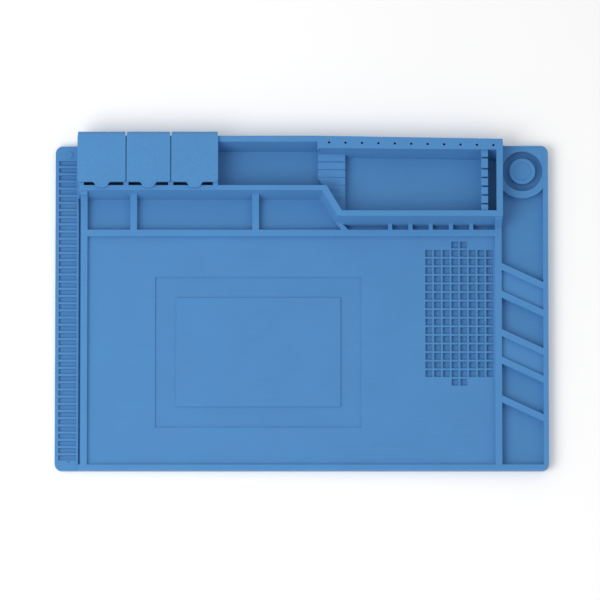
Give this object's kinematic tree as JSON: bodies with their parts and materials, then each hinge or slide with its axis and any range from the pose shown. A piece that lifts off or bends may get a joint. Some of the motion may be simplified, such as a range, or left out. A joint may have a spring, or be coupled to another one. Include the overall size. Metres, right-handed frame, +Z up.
{
  "type": "silicone soldering mat",
  "caption": "Rectangular silicone work mat with a raised tool rack, flip-lid boxes, parts trays, screw cells, slanting pockets and a round dish.",
  "frame": {"origin": "middle of the flat underside, on the table", "axes": "+X along the length to the user's right, +Y away from the user to the raised block, +Z up"},
  "size_m": [0.45, 0.3102, 0.0295],
  "materials": {
    "mat_silicone": "matte moulded silicone",
    "lid_silicone": "matte moulded silicone, finely grained",
    "strap_silicone": "thin matte silicone skin"
  },
  "bodies": {
    "mat": {"back_wall": "mat_silicone", "base_sheet": "mat_silicone", "bin_divider_1": "mat_silicone", "bin_divider_2": "mat_silicone", "bin_divider_3": "mat_silicone", "bin_divider_4": "mat_silicone", "bin_divider_5": "mat_silicone", "bit_rack": "mat_silicone", "block_end_wall": "mat_silicone", "block_foot": "mat_silicone", "box_partition_left": "mat_silicone", "box_partition_right": "mat_silicone", "box_wall_left": "mat_silicone", "box_wall_right": "mat_silicone", "column_rib_1": "mat_silicone", "column_rib_2": "mat_silicone", "column_rib_3": "mat_silicone", "column_rib_4": "mat_silicone", "column_rib_5": "mat_silicone", "dish_ring": "mat_silicone", "dish_seat": "mat_silicone", "divider_ramp_left": "mat_silicone", "divider_ramp_right": "mat_silicone", "front_rail": "mat_silicone", "front_wall_left": "mat_silicone", "front_wall_right": "mat_silicone", "front_wall_slanted": "mat_silicone", "left_rail": "mat_silicone", "middle_rail": "mat_silicone", "notched_comb": "mat_silicone", "rail_ramp_left": "mat_silicone", "rail_ramp_right": "mat_silicone", "ridge_rest": "mat_silicone", "right_rail": "mat_silicone", "right_rim": "mat_silicone", "row_divider_left": "mat_silicone", "row_divider_right": "mat_silicone", "row_divider_slanted": "mat_silicone", "screw_cell_strip": "mat_silicone", "screw_grid_panel": "mat_silicone", "shallow_floor_lower": "mat_silicone", "shallow_floor_upper": "mat_silicone", "strap_left": "strap_silicone", "strap_middle": "strap_silicone", "strap_right": "strap_silicone", "tray_end_wall": "mat_silicone", "work_floor": "mat_silicone"},
    "lid_left": {"lid_left": "lid_silicone"},
    "lid_middle": {"lid_middle": "lid_silicone"},
    "lid_right": {"lid_right": "lid_silicone"}
  },
  "joints": [
    {"name": "lid_left_hinge", "type": "hinge", "parent": "mat", "child": "lid_left", "pos_m": [-0.18075, 0.16143, 0.0257], "axis": [-1, 0, 0], "range_deg": [0, 180], "deforming": ["strap_left"]},
    {"name": "lid_middle_hinge", "type": "hinge", "parent": "mat", "child": "lid_middle", "pos_m": [-0.13995, 0.16143, 0.0257], "axis": [-1, 0, 0], "range_deg": [0, 180], "deforming": ["strap_middle"]},
    {"name": "lid_right_hinge", "type": "hinge", "parent": "mat", "child": "lid_right", "pos_m": [-0.09915, 0.16143, 0.0257], "axis": [-1, 0, 0], "range_deg": [0, 180], "deforming": ["strap_right"]}
  ]
}
